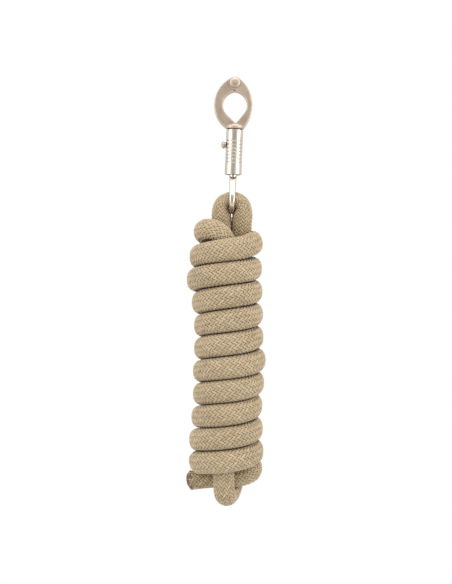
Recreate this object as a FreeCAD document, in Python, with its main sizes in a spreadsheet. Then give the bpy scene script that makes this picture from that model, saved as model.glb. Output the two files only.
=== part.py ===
import FreeCAD, Part
import math
import os

# Horse lead rope: a braided rope on a panic snap, wound in a hank for storage.
#
# Frame: millimetres, +Z up, +X to the right and -Y to the front. The snap's axis is the Z axis
# and the origin is the seat in the top of its jaw opening, where a halter ring hangs. The rope
# hangs from the snap's eye, a little off the snap's axis.

Vector = FreeCAD.Vector
X_AXIS = Vector(1, 0, 0)
Y_AXIS = Vector(0, 1, 0)
Z_AXIS = Vector(0, 0, 1)

SIZES = [
    # jaw opening and its two arms, seen from the front
    ("opening_depth", 26.0, "seat to the bottom of the jaw opening"),
    ("opening_left", 10.5, "opening's reach to the left of the axis"),
    ("opening_right", 9.2, "opening's reach to the right of the axis"),
    ("widest_depth", 11.0, "seat to the widest place of the opening"),
    ("hook_arm_width", 7.2, "width of the fixed arm"),
    ("jaw_arm_width", 4.4, "width of the release jaw's arm"),
    ("arm_thickness", 7.0, "front to back"),
    ("arm_bevel", 0.9, "bevel along the arms' edges"),
    ("split_offset", 0.5, "plane where the two collar halves meet, right of the axis"),
    ("split_gap", 0.1, "gap between the two halves"),
    # rivet
    ("rivet_left", 1.3, "rivet's place, left of the axis"),
    ("rivet_height", 7.5, "rivet's place, above the seat"),
    ("rivet_radius", 2.1, "rivet's shank"),
    ("rivet_head_radius", 4.2, "rivet's heads"),
    ("rivet_head_height", 1.3, "rivet's heads"),
    ("rivet_play", 0.05, "running clearance round the shank and under the heads"),
    ("boss_radius", 6.1, "round end of each arm at the rivet"),
    ("boss_gap", 0.25, "gap round the boss"),
    ("lap_gap", 0.1, "gap between the two bosses"),
    ("crown", 4.8, "metal above the rivet's centre"),
    # collar and barrel of the hook
    ("collar_swell", 0.5, "widest part of the collar, outside the sleeve"),
    ("collar_foot", 1.2, "foot's bevel of the collar"),
    ("collar_height", 4.2, "height of the collar's round part"),
    ("barrel_radius", 5.5, "barrel, in the sleeve's bore"),
    ("barrel_drop", 1.9, "sleeve's top to the top of the whole barrel"),
    ("barrel_length", 19.2, "height of the whole barrel"),
    ("barrel_rooting", 0.5, "barrel's neck, inside the collar"),
    ("jaw_spigot_inset", 0.3, "jaw's cone inside the barrel's radius"),
    ("jaw_spigot_depth", 0.8, "jaw's shallow cone, below the sleeve's top"),
    # lock sleeve
    ("sleeve_gap", 1.1, "slot between collar and sleeve"),
    ("sleeve_length", 36.3, "lock sleeve"),
    ("sleeve_wall", 1.3, "lock sleeve, round the barrel"),
    ("sleeve_play", 0.1, "running clearance of the barrel in the sleeve"),
    ("sleeve_travel", 6.0, "stroke of the sleeve when it is drawn down"),
    ("web_thickness", 1.2, "inner web that the spring pushes on"),
    ("web_gap", 0.6, "barrel's bottom to the web"),
    ("web_play", 0.25, "clearance of the stem in the web"),
    ("spring_chamber_radius", 5.5, "open bore below the web"),
    ("groove_count", 7, "grip grooves"),
    ("groove_pitch", 2.93, "grip grooves"),
    ("groove_start", 9.0, "sleeve's top to the first groove"),
    ("groove_radius", 0.55, "grip grooves' round section"),
    ("groove_rise", 0.14, "section's centre, outside the sleeve's surface"),
    # thumb stud
    ("stud_drop", 12.4, "sleeve's top to the stud's centre"),
    ("stud_radius", 1.5, "stud's shank"),
    ("stud_head_radius", 3.0, "stud's head"),
    ("stud_head_height", 2.3, "stud's head"),
    ("stud_neck", 1.4, "head's stand-off from the sleeve"),
    ("stud_reach", 1.0, "stud's tip below the barrel's surface"),
    ("stud_play", 0.1, "clearance of the tip in its slot"),
    # swivel stem and eye
    ("stem_radius", 3.15, "stem"),
    ("stem_play", 0.08, "running clearance of the stem in the barrel"),
    ("stem_engagement", 14.0, "stem's length inside the barrel"),
    ("stem_end_gap", 0.5, "stem's top to the end of its bore"),
    ("stem_chamfer", 0.5, "chamfer of the stem's top"),
    ("pin_radius", 1.0, "pin that holds the stem"),
    ("pin_rise", 4.4, "barrel's bottom to the pin"),
    ("pin_groove_depth", 0.95, "stem's groove for the pin"),
    ("eye_depth", 88.2, "seat to the eye's centre"),
    ("eye_bore_radius", 8.0, "eye"),
    ("eye_thickness", 3.7, "eye's ring, inside to outside, and across at its foot"),
    ("eye_rounding", 1.5, "rounding of the eye's edges"),
    ("eye_shoulder", 19.4, "eye's centre to where the stem starts to spread"),
    ("eye_neck_half_width", 3.0, "eye at its shoulder, across"),
    ("eye_neck_half_depth", 2.3, "eye at its shoulder, front to back"),
    # spring and its seat
    ("washer_thickness", 0.8, "spring seat"),
    ("washer_radius", 5.35, "spring seat"),
    ("washer_inset", 1.9, "sleeve's bottom to the washer's upper face"),
    ("clip_thickness", 0.8, "clip below the washer"),
    ("clip_radius", 4.6, "clip"),
    ("clip_groove_depth", 0.6, "clip's seat in the stem"),
    ("clip_mouth", 4.4, "opening of the clip"),
    ("spring_wire", 0.9, "spring"),
    ("spring_turns", 5, "spring"),
    ("spring_mean_radius", 4.4, "spring"),
    ("spring_clearance", 0.02, "spring's end turns to their seats"),
    # rope
    ("rope_diameter", 17.5, "rope where it is round"),
    ("eye_loop_diameter", 14.6, "rope where the eye squeezes it"),
    ("folded_diameter", 15.4, "rope at the hank's lower fold and tail"),
    ("hank_tilt", 2.2, "degrees between the hank and the snap's axis"),
    ("hank_half_width", 29.4, "hank, side to side"),
    ("hank_half_depth", 34.1, "hank, front to back"),
    ("hank_left", 4.1, "hank's axis, left of the eye"),
    ("hank_top", 23.0, "eye's centre to the hank's top"),
    ("hank_bottom", 224.0, "eye's centre to the hank's bottom"),
    ("hank_rounding", 9.0, "rounding of the hank's ends"),
    ("ferrule_left", 0.6, "band's centre, left of the eye"),
    ("ferrule_half_width", 14.0, "crimped band on the rope's end"),
    ("ferrule_half_depth", 8.2, "crimped band"),
    ("ferrule_wall", 1.2, "crimped band"),
    ("ferrule_height", 16.0, "crimped band"),
    ("ferrule_top", 33.0, "eye's centre to the band's top"),
    ("ferrule_back", 8.2, "band's centre, behind the hank's axis"),
    ("seal_length", 2.5, "melted end of the rope"),
    # working allowance
    ("overcut", 1.0, "run of a cutting shape past the face that it cuts"),
]

doc = FreeCAD.newDocument("lead_rope")
sheet = doc.addObject("Spreadsheet::Sheet", "sizes")
for row, (alias, value, note) in enumerate(SIZES, start=1):
    sheet.set(f"A{row}", note)
    sheet.set(f"B{row}", str(value))
    sheet.setAlias(f"B{row}", alias)
doc.recompute()


def size(alias):
    return float(sheet.get(alias))


# ---------------------------------------------------------------- shared helpers


def bind(feature, expressions):
    """Ties a feature's properties to the sheet."""
    for name, expression in expressions.items():
        feature.setExpression(name, expression)
    return feature


def part(kind, name, expressions, rotation=None):
    """A Part primitive with its sizes and its place tied to the sheet."""
    feature = doc.addObject(f"Part::{kind}", name)
    if rotation is not None:
        feature.Placement = FreeCAD.Placement(Vector(), rotation)
    return bind(feature, expressions)


def combine(kind, name, base, tool):
    """Part::Cut, Part::Fuse or Part::Common of two features."""
    feature = doc.addObject(f"Part::{kind}", name)
    feature.Base = base
    feature.Tool = tool
    feature.Refine = kind == "Fuse"
    return feature


def origin_plane(body, role):
    return next(f for f in body.Origin.OriginFeatures if f.Role == role)


def sketch(body, name, role, geometry, offset=None):
    """A sketch on one of its body's own origin planes."""
    drawn = body.newObject("Sketcher::SketchObject", name)
    drawn.AttachmentSupport = (origin_plane(body, role), [""])
    drawn.MapMode = "FlatFace"
    if offset is not None:
        drawn.setExpression("AttachmentOffset.Base.z", offset)
    for curve in geometry:
        drawn.addGeometry(curve, False)
    doc.recompute()
    return drawn


def polyline(points):
    """Closed outline through points of (across, up)."""
    corners = [Vector(a, b, 0) for a, b in points]
    return [Part.LineSegment(p, q) for p, q in zip(corners, corners[1:] + corners[:1])]


def body_of(name):
    return doc.addObject("PartDesign::Body", name)


def revolve(body, name, outline, kind="Revolution"):
    """Turns an outline of (radius, height) round the Z axis."""
    drawn = sketch(body, f"{name}_outline", "XZ_Plane", outline)
    feature = body.newObject(f"PartDesign::{kind}", name)
    feature.Profile = drawn
    feature.ReferenceAxis = (drawn, ["V_Axis"])
    feature.Angle = 360
    drawn.Visibility = False
    doc.recompute()
    return feature


def pad(body, name, role, geometry, length, kind="Pad", offset=None, symmetric=True):
    """Pads or pockets a sketch by a length that is tied to the sheet."""
    drawn = sketch(body, f"{name}_outline", role, geometry, offset)
    feature = body.newObject(f"PartDesign::{kind}", name)
    feature.Profile = drawn
    feature.Midplane = symmetric
    bind(feature, {"Length": length})
    doc.recompute()
    return feature


ABOUT_X = FreeCAD.Rotation(X_AXIS, 90)
ABOUT_Y = FreeCAD.Rotation(Y_AXIS, 90)

# ---------------------------------------------------------------- levels along the snap's axis

rivet_x = -size("rivet_left")
rivet_z = size("rivet_height")
split_x = size("split_offset")
shoulder_z = -size("opening_depth") - size("collar_height")
sleeve_top = shoulder_z - size("sleeve_gap")
sleeve_bottom = sleeve_top - size("sleeve_length")
barrel_top = sleeve_top - size("barrel_drop")
barrel_bottom = barrel_top - size("barrel_length")
sleeve_bore = size("barrel_radius") + size("sleeve_play")
sleeve_radius = sleeve_bore + size("sleeve_wall")
web_top = barrel_bottom - size("web_gap")
web_bottom = web_top - size("web_thickness")
washer_top = sleeve_bottom + size("washer_inset")
washer_bottom = washer_top - size("washer_thickness")
clip_bottom = washer_bottom - size("clip_thickness")
pin_z = barrel_bottom + size("pin_rise")
eye_z = -size("eye_depth")

SLEEVE_RADIUS = "(sizes.barrel_radius + sizes.sleeve_play + sizes.sleeve_wall)"
SHOULDER = "-sizes.opening_depth - sizes.collar_height"
SLEEVE_TOP = f"({SHOULDER} - sizes.sleeve_gap)"
SLEEVE_BOTTOM = f"({SLEEVE_TOP} - sizes.sleeve_length)"
BARREL_TOP = f"({SLEEVE_TOP} - sizes.barrel_drop)"
BARREL_BOTTOM = f"({BARREL_TOP} - sizes.barrel_length)"
WASHER_BOTTOM = f"({SLEEVE_BOTTOM} + sizes.washer_inset - sizes.washer_thickness)"
CLIP_LEVELS = (WASHER_BOTTOM, f"{WASHER_BOTTOM} - sizes.clip_thickness")
PIN_X = "(sizes.stem_radius + sizes.stem_play - sizes.pin_groove_depth + sizes.pin_radius)"
PIN_HALF_LENGTH = f"sqrt(sizes.barrel_radius ^ 2 - ({PIN_X} + sizes.pin_radius) ^ 2)"

# ---------------------------------------------------------------- outlines of the two arms

BEVEL_ANGLE = 45


def straight(start, end):
    return Part.LineSegment(Vector(*start, 0), Vector(*end, 0))


def arc_about(centre, radius, start, end):
    """The shorter arc of a circle from start to end."""
    middle = (Vector(*start, 0) + Vector(*end, 0)) / 2 - Vector(*centre, 0)
    middle = Vector(*centre, 0) + middle.normalize() * radius
    return Part.ArcOfCircle(Vector(*start, 0), middle, Vector(*end, 0))


def upright_arc(widest, end):
    """Arc that leaves its widest point straight up or down and runs to end."""
    across, rise = end[0] - widest[0], end[1] - widest[1]
    radius = (across**2 + rise**2) / (2 * abs(across))
    centre = (widest[0] + math.copysign(radius, across), widest[1])
    return arc_about(centre, radius, widest, end)


def outer_curves(side, reach):
    """Outside of one arm, from its foot at the sleeve up to the crown over the rivet."""
    level = -size("widest_depth")
    widest = (side * reach, level)
    foot = (side * sleeve_radius, shoulder_z)
    crown = size("crown")
    across = abs(rivet_x - widest[0])
    rise = rivet_z - level
    radius = (across**2 + rise**2 - crown**2) / (2 * (across - crown))
    centre = (widest[0] - side * radius, level)
    share = crown / (radius - crown)
    meeting = (rivet_x + share * (rivet_x - centre[0]), rivet_z + share * rise)
    top = (rivet_x, rivet_z + crown)
    return [
        upright_arc(widest, foot),
        arc_about(centre, radius, widest, meeting),
        arc_about((rivet_x, rivet_z), crown, meeting, top),
    ]


def opening_curves(side, reach, bottom_x):
    """One side of the teardrop opening: round from its seat down, then straight to the bottom."""
    widest = (side * reach, -size("widest_depth"))
    seat = (rivet_x, 0)
    bottom = (bottom_x, -size("opening_depth"))
    across = abs(seat[0] - widest[0])
    radius = (across**2 + widest[1] ** 2) / (2 * across)
    centre = (widest[0] - side * radius, widest[1])
    away = math.hypot(bottom[0] - centre[0], bottom[1] - centre[1])
    heading = math.atan2(bottom[1] - centre[1], bottom[0] - centre[0])
    angle = heading + side * math.acos(radius / away)
    touch = (centre[0] + radius * math.cos(angle), centre[1] + radius * math.sin(angle))
    return [
        arc_about(centre, radius, seat, widest),
        arc_about(centre, radius, widest, touch),
        straight(touch, bottom),
    ]


def arm_outline(side, opening_reach, arm_width, seam_x):
    """One arm from the crown down to the collar; side is -1 for the left and 1 for the right."""
    crown = (rivet_x, rivet_z + size("crown"))
    heel = (seam_x, shoulder_z)
    return (
        outer_curves(side, opening_reach + arm_width)
        + opening_curves(side, opening_reach, seam_x)
        + [
            straight(crown, (rivet_x, 0)),
            straight((seam_x, -size("opening_depth")), heel),
            straight(heel, (side * sleeve_radius, shoulder_z)),
        ]
    )


LEFT_OUTSIDE = size("opening_left") + size("hook_arm_width")
RIGHT_OUTSIDE = size("opening_right") + size("jaw_arm_width")


def bevelled_plate(name, outline):
    """Plate of the arms' thickness, with its edges bevelled at the front and the back."""
    body = body_of(name)
    width = "sizes.arm_bevel"
    pad(body, f"{name}_core", "XZ_Plane", outline, f"sizes.arm_thickness - 2 * {width}")
    for face, side in (("front", 1), ("back", -1)):
        offset = f"{side} * (sizes.arm_thickness / 2 - {width})"
        bevel = pad(body, f"{name}_{face}", "XZ_Plane", outline, width, offset=offset, symmetric=False)
        bevel.Reversed = side < 0
        bevel.TaperAngle = -BEVEL_ANGLE
        doc.recompute()
    return body


def crown_blank(name):
    """Plate over the whole outer outline, which trims the two bosses to the crown."""
    right = outer_curves(1, RIGHT_OUTSIDE)
    left = outer_curves(-1, LEFT_OUTSIDE)
    base = straight((-sleeve_radius, shoulder_z), (sleeve_radius, shoulder_z))
    return bevelled_plate(name, right + left + [base])


def half_disc(name, radius, side):
    """Disc about the rivet over the front (-1) or the back (1) half of the thickness."""
    offset = "0" if side > 0 else "-sizes.arm_thickness / 2"
    return part(
        "Cylinder",
        name,
        {
            "Radius": radius,
            "Height": "sizes.arm_thickness / 2",
            "Placement.Base.x": "-sizes.rivet_left",
            "Placement.Base.y": f"{offset} + sizes.arm_thickness / 2",
            "Placement.Base.z": "sizes.rivet_height",
        },
        ABOUT_X,
    )


def cross_bore(name, radius):
    """Bore along Y at the rivet."""
    return part(
        "Cylinder",
        name,
        {
            "Radius": radius,
            "Height": "2 * sizes.arm_thickness",
            "Placement.Base.x": "-sizes.rivet_left",
            "Placement.Base.y": "sizes.arm_thickness",
            "Placement.Base.z": "sizes.rivet_height",
        },
        ABOUT_X,
    )


def column(name, radius, top, bottom):
    """Upright cylinder on the snap's axis between two levels."""
    return part(
        "Cylinder",
        name,
        {
            "Radius": radius,
            "Height": f"({top}) - ({bottom})",
            "Placement.Base.z": bottom,
        },
    )


def half_space(name, side):
    """Block on one side of the seam between the two collar halves."""
    edge = "sizes.split_offset + sizes.split_gap / 2"
    if side < 0:
        edge = "sizes.split_offset - sizes.split_gap / 2 - sizes.opening_depth"
    return part(
        "Box",
        name,
        {
            "Length": "sizes.opening_depth",
            "Width": "sizes.opening_depth",
            "Height": "2 * sizes.opening_depth",
            "Placement.Base.x": edge,
            "Placement.Base.y": "-sizes.opening_depth / 2",
            "Placement.Base.z": "-2 * sizes.opening_depth",
        },
    )


def collar(name):
    """Round shoulder under the opening, narrowed to the sleeve's size at its foot."""
    belly = (sleeve_radius + size("collar_swell"), shoulder_z + size("collar_foot"))
    top = (size("arm_thickness") / 2, -size("opening_depth"))
    body = body_of(name)
    outline = [
        straight((0, top[1]), (0, shoulder_z)),
        straight((0, shoulder_z), (sleeve_radius, shoulder_z)),
        straight((sleeve_radius, shoulder_z), belly),
        upright_arc(belly, top),
        straight(top, (0, top[1])),
    ]
    revolve(body, f"{name}_turned", outline)
    return body


def fuse_all(name, features):
    joined = features[0]
    for i, feature in enumerate(features[1:], start=1):
        joined = combine("Fuse", f"{name}_join_{i}", joined, feature)
    return joined


def cut_all(name, base, tools):
    for i, tool in enumerate(tools, start=1):
        base = combine("Cut", f"{name}_cut_{i}", base, tool)
    return base


# ---------------------------------------------------------------- hook: arm, collar half and barrel


def make_hook():
    """Fixed arm, in one piece with its half of the collar and the barrel inside the sleeve."""
    seam = split_x - size("split_gap") / 2
    outline = arm_outline(-1, size("opening_left"), size("hook_arm_width"), seam)
    relief = half_disc("hook_relief", "sizes.boss_radius + sizes.boss_gap", -1)
    arm = cut_all("hook_arm", bevelled_plate("hook_arm", outline), [relief])
    disc = half_disc("hook_disc", "sizes.boss_radius", 1)
    boss = combine("Common", "hook_boss", disc, crown_blank("hook_crown"))
    round_collar = collar("hook_collar_blank")
    half_collar = combine("Common", "hook_collar", round_collar, half_space("hook_side", -1))
    plug = combine(
        "Common",
        "hook_plug",
        column("hook_plug_blank", "sizes.barrel_radius", f"{SHOULDER} + sizes.barrel_rooting", BARREL_TOP),
        half_space("plug_side", -1),
    )
    barrel = column("barrel", "sizes.barrel_radius", BARREL_TOP, BARREL_BOTTOM)
    solid = fuse_all("hook", [arm, boss, half_collar, plug, barrel])
    stem_hole = column(
        "stem_hole",
        "sizes.stem_radius + sizes.stem_play",
        f"{BARREL_BOTTOM} + sizes.stem_engagement + sizes.stem_end_gap",
        f"{BARREL_BOTTOM} - sizes.overcut",
    )
    slot = part(
        "Box",
        "stud_slot",
        {
            "Length": "sizes.stud_reach + sizes.stud_play + sizes.overcut",
            "Width": "2 * (sizes.stud_radius + sizes.stud_play)",
            "Height": "sizes.sleeve_travel + 2 * (sizes.stud_radius + sizes.stud_play)",
            "Placement.Base.x": "-sizes.barrel_radius - sizes.overcut",
            "Placement.Base.y": "-sizes.stud_radius - sizes.stud_play",
            "Placement.Base.z": f"{SLEEVE_TOP} - sizes.stud_drop - sizes.sleeve_travel"
            " - sizes.stud_radius - sizes.stud_play",
        },
    )
    pin_hole = retaining_pin("pin_hole")
    hole = cross_bore("hook_rivet_hole", "sizes.rivet_radius")
    return cut_all("hook_body", solid, [stem_hole, slot, pin_hole, hole])


def retaining_pin(name):
    """Cross pin through the barrel beside the stem, half of it in the stem's groove."""
    return part(
        "Cylinder",
        name,
        {
            "Radius": "sizes.pin_radius",
            "Height": f"2 * {PIN_HALF_LENGTH}",
            "Placement.Base.x": PIN_X,
            "Placement.Base.y": PIN_HALF_LENGTH,
            "Placement.Base.z": f"{BARREL_BOTTOM} + sizes.pin_rise",
        },
        ABOUT_X,
    )


def make_jaw():
    """Release jaw: arm, front boss, the other collar half and the cone that the sleeve holds."""
    seam = split_x + size("split_gap") / 2
    outline = arm_outline(1, size("opening_right"), size("jaw_arm_width"), seam)
    relief = half_disc("jaw_relief", "sizes.boss_radius + sizes.boss_gap", 1)
    arm = cut_all("jaw_arm", bevelled_plate("jaw_arm", outline), [relief])
    disc = half_disc("jaw_disc", "sizes.boss_radius", -1)
    boss = combine("Common", "jaw_boss", disc, crown_blank("jaw_crown"))
    round_collar = collar("jaw_collar_blank")
    half_collar = combine("Common", "jaw_collar", round_collar, half_space("jaw_side", 1))
    neck_radius = size("barrel_radius") - size("jaw_spigot_inset")
    spigot_blank = body_of("spigot_blank")
    revolve(
        spigot_blank,
        "spigot_turned",
        polyline(
            [
                (0, shoulder_z + size("split_gap")),
                (neck_radius, shoulder_z + size("split_gap")),
                (neck_radius, sleeve_top),
                (size("split_offset") * 2, sleeve_top - size("jaw_spigot_depth")),
                (0, sleeve_top - size("jaw_spigot_depth")),
            ]
        ),
    )
    spigot = combine("Common", "jaw_spigot", spigot_blank, half_space("spigot_side", 1))
    solid = fuse_all("jaw", [arm, boss, half_collar, spigot])
    gap = part(
        "Box",
        "boss_lap",
        {
            "Length": "2 * (sizes.boss_radius + sizes.overcut)",
            "Width": "sizes.lap_gap",
            "Height": "2 * (sizes.boss_radius + sizes.overcut)",
            "Placement.Base.x": "-sizes.rivet_left - sizes.boss_radius - sizes.overcut",
            "Placement.Base.y": "-sizes.lap_gap",
            "Placement.Base.z": "sizes.rivet_height - sizes.boss_radius - sizes.overcut",
        },
    )
    hole = cross_bore("jaw_rivet_hole", "sizes.rivet_radius + sizes.rivet_play")
    return cut_all("release_jaw", solid, [gap, hole])


def domed_head(radius, foot, height):
    """Outline of a domed head, from its foot's rim up to the axis."""
    rim = foot + height / 3
    rise = foot + height - rim
    ball = (radius**2 + rise**2) / (2 * rise)
    dome = arc_about((0, foot + height - ball), ball, (radius, rim), (0, foot + height))
    return [straight((radius, foot), (radius, rim)), dome]


def make_rivet():
    """Jaw's rivet: shank and two domed heads, turned round the Y axis."""
    body = body_of("jaw_rivet")
    under = size("arm_thickness") / 2
    front = under + size("rivet_play")
    head = size("rivet_head_radius")
    height = size("rivet_head_height")
    shank = size("rivet_radius")
    near = domed_head(head, front, height)
    far = domed_head(head, under, height)
    outline = [straight((0, -under - height), (0, front + height))]
    outline += [straight((shank, -under), (shank, front)), straight((shank, front), (head, front))]
    outline += near
    outline += [straight((head, -under), (shank, -under))]
    outline += [mirrored_up(curve) for curve in far]
    drawn = sketch(body, "rivet_outline", "XY_Plane", outline)
    turned = body.newObject("PartDesign::Revolution", "rivet_turned")
    turned.Profile = drawn
    turned.ReferenceAxis = (drawn, ["V_Axis"])
    turned.Angle = 360
    body.Placement = FreeCAD.Placement(Vector(), FreeCAD.Rotation(Z_AXIS, 180))
    bind(body, {"Placement.Base.x": "-sizes.rivet_left", "Placement.Base.z": "sizes.rivet_height"})
    return body


def mirrored_up(curve):
    """The same curve below the horizontal axis."""
    flip = FreeCAD.Matrix()
    flip.scale(Vector(1, -1, 1))
    if isinstance(curve, Part.LineSegment):
        return Part.LineSegment(flip * curve.StartPoint, flip * curve.EndPoint)
    middle = curve.value((curve.FirstParameter + curve.LastParameter) / 2)
    return Part.ArcOfCircle(flip * curve.StartPoint, flip * middle, flip * curve.EndPoint)


# ---------------------------------------------------------------- lock sleeve and thumb stud


def make_sleeve():
    """Sleeve that slides over the barrel, with grip grooves and a web for the spring."""
    body = body_of("lock_sleeve")
    chamber = size("spring_chamber_radius")
    web = size("stem_radius") + size("web_play")
    revolve(
        body,
        "sleeve_turned",
        polyline(
            [
                (sleeve_bore, sleeve_top),
                (sleeve_radius, sleeve_top),
                (sleeve_radius, sleeve_bottom),
                (chamber, sleeve_bottom),
                (chamber, web_bottom),
                (web, web_bottom),
                (web, web_top),
                (sleeve_bore, web_top),
            ]
        ),
    )
    groove_centre = Vector(sleeve_radius + size("groove_rise"), sleeve_top - size("groove_start"), 0)
    ring = Part.Circle(groove_centre, Z_AXIS, size("groove_radius"))
    groove = revolve(body, "grip_groove", [ring], "Groove")
    row = body.newObject("PartDesign::LinearPattern", "grip_grooves")
    row.Originals = [groove]
    row.Direction = (origin_plane(body, "Z_Axis"), [""])
    row.Reversed = True
    bind(
        row,
        {
            "Length": "(sizes.groove_count - 1) * sizes.groove_pitch",
            "Occurrences": "sizes.groove_count",
        },
    )
    body.Tip = row
    doc.recompute()
    before = body.Shape.Volume
    stud_hole = part(
        "Cylinder",
        "stud_hole",
        {
            "Radius": "sizes.stud_radius",
            "Height": SLEEVE_RADIUS,
            "Placement.Base.x": f"-{SLEEVE_RADIUS} - sizes.overcut",
            "Placement.Base.z": f"{SLEEVE_TOP} - sizes.stud_drop",
        },
        ABOUT_Y,
    )
    drilled = cut_all("lock_sleeve", body, [stud_hole])
    doc.recompute()
    if not drilled.Shape.Volume < before:
        raise RuntimeError("the stud's hole misses the sleeve")
    return drilled


def make_stud():
    """Stud riveted through the sleeve: a head for the thumb and a tip in the barrel's slot."""
    body = body_of("thumb_stud")
    tip = size("barrel_radius") - size("stud_reach")
    head_foot = sleeve_radius + size("stud_neck")
    shank = size("stud_radius")
    head = size("stud_head_radius")
    neck = (shank + head) / 2
    outline = [
        straight((0, head_foot + size("stud_head_height")), (0, tip)),
        straight((0, tip), (shank, tip)),
        straight((shank, tip), (shank, sleeve_radius)),
        straight((shank, sleeve_radius), (neck, sleeve_radius)),
        straight((neck, sleeve_radius), (neck, head_foot)),
        straight((neck, head_foot), (head, head_foot)),
    ]
    outline += domed_head(head, head_foot, size("stud_head_height"))
    revolve(body, "stud_turned", outline)
    body.Placement = FreeCAD.Placement(Vector(), FreeCAD.Rotation(Y_AXIS, -90))
    bind(body, {"Placement.Base.z": f"{SLEEVE_TOP} - sizes.stud_drop"})
    return body


# ---------------------------------------------------------------- swivel stem, spring and its seat


def drop_outline(outer):
    """Outside of the eye in (depth, height) from its centre: round, and drawn in to the stem."""
    neck = (size("eye_neck_half_depth"), size("eye_shoulder"))
    angle = math.atan2(neck[1], neck[0]) - math.acos(outer / math.hypot(*neck))
    touch = (outer * math.cos(angle), outer * math.sin(angle))
    round_foot = Part.ArcOfCircle(Vector(*touch, 0), Vector(0, -outer, 0), Vector(-touch[0], touch[1], 0))
    return [
        straight(neck, touch),
        round_foot,
        straight((-touch[0], touch[1]), (-neck[0], neck[1])),
        straight((-neck[0], neck[1]), neck),
    ]


def make_stem():
    """Swivel stem, held in the barrel by its upper groove, with the rope's eye at its foot."""
    body = body_of("stem_shaft")
    radius = size("stem_radius")
    top = barrel_bottom + size("stem_engagement")
    neck = eye_z + size("eye_bore_radius") + size("eye_thickness") / 2
    pin_floor = radius - size("pin_groove_depth")
    pin_half = size("pin_radius") + size("stem_play")
    clip_floor = radius - size("clip_groove_depth")
    clip_top = washer_bottom
    revolve(
        body,
        "stem_turned",
        polyline(
            [
                (0, neck),
                (size("eye_neck_half_depth"), neck),
                (radius, eye_z + size("eye_shoulder")),
                (radius, clip_bottom),
                (clip_floor, clip_bottom),
                (clip_floor, clip_top),
                (radius, clip_top),
                (radius, pin_z - pin_half),
                (pin_floor, pin_z - pin_half),
                (pin_floor, pin_z + pin_half),
                (radius, pin_z + pin_half),
                (radius, top - size("stem_chamfer")),
                (radius - size("stem_chamfer"), top),
                (0, top),
            ]
        ),
    )
    ring = body_of("eye_ring")
    outer = size("eye_bore_radius") + size("eye_thickness")
    bore = Part.Circle(Vector(), Z_AXIS, size("eye_bore_radius"))
    pad(ring, "eye_ring_pad", "YZ_Plane", drop_outline(outer) + [bore], "3 * sizes.stem_radius")
    bind(ring, {"Placement.Base.z": "-sizes.eye_depth"})
    wedge = body_of("eye_wedge")
    foot = size("eye_thickness") / 2
    lowest = eye_z - outer - size("overcut")
    shoulder = (size("eye_neck_half_width"), eye_z + size("eye_shoulder"))
    sides = [(-foot, lowest), (foot, lowest), shoulder, (-shoulder[0], shoulder[1])]
    pad(wedge, "eye_wedge_pad", "XZ_Plane", polyline(sides), "3 * sizes.eye_bore_radius")
    blank = combine("Common", "eye_blank", ring, wedge)
    doc.recompute()
    rounded = doc.addObject("Part::Fillet", "eye_rounded")
    rounded.Base = blank
    rounding = size("eye_rounding")
    rounded.Edges = [
        (i, rounding, rounding)
        for i, edge in enumerate(blank.Shape.Edges, start=1)
        if edge.BoundBox.XLength < size("stem_radius") and edge.Length > 2 * size("eye_thickness")
    ]
    doc.recompute()
    return combine("Fuse", "swivel_stem", body, rounded)


def make_washer():
    """Spring's seat round the stem."""
    body = body_of("spring_seat_washer")
    bore = size("stem_radius") + size("stem_play") / 2
    outside = size("washer_radius")
    revolve(
        body,
        "washer_turned",
        polyline(
            [
                (bore, washer_top),
                (outside, washer_top),
                (outside, washer_bottom),
                (bore, washer_bottom),
            ]
        ),
    )
    return body


def make_clip():
    """Open ring, snapped in the stem's groove, that carries the washer."""
    disc = column("clip_disc", "sizes.clip_radius", *CLIP_LEVELS)
    bore = column("clip_bore", "sizes.stem_radius - sizes.clip_groove_depth", *CLIP_LEVELS)
    mouth = part(
        "Box",
        "clip_opening",
        {
            "Length": "2 * sizes.clip_radius",
            "Width": "sizes.clip_mouth",
            "Height": "3 * sizes.clip_thickness",
            "Placement.Base.y": "-sizes.clip_mouth / 2",
            "Placement.Base.z": f"{CLIP_LEVELS[1]} - sizes.clip_thickness",
        },
    )
    return cut_all("stem_clip", disc, [bore, mouth])


def make_spring():
    """Compression spring between the sleeve's web and the washer."""
    wire = size("spring_wire") / 2
    lowest = washer_top + wire + size("spring_clearance")
    highest = web_bottom - wire - size("spring_clearance")
    rise = (highest - lowest) / size("spring_turns")
    helix = Part.makeHelix(rise, highest - lowest, size("spring_mean_radius"))
    section = Part.Wire(Part.makeCircle(wire, Vector(size("spring_mean_radius"), 0, 0), Y_AXIS))
    coil = Part.Wire(helix).makePipeShell([section], True, True)
    spring = doc.addObject("Part::Feature", "sleeve_spring")
    spring.Shape = coil
    spring.Placement = FreeCAD.Placement(Vector(0, 0, lowest), FreeCAD.Rotation())
    return spring


# ---------------------------------------------------------------- rope


def hank_place():
    """The hank hangs from the eye, tilted from the snap's axis about the eye's centre."""
    turn = FreeCAD.Rotation(Vector(0, -1, 0), size("hank_tilt"))
    return FreeCAD.Placement(Vector(0, 0, eye_z), turn)


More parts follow.
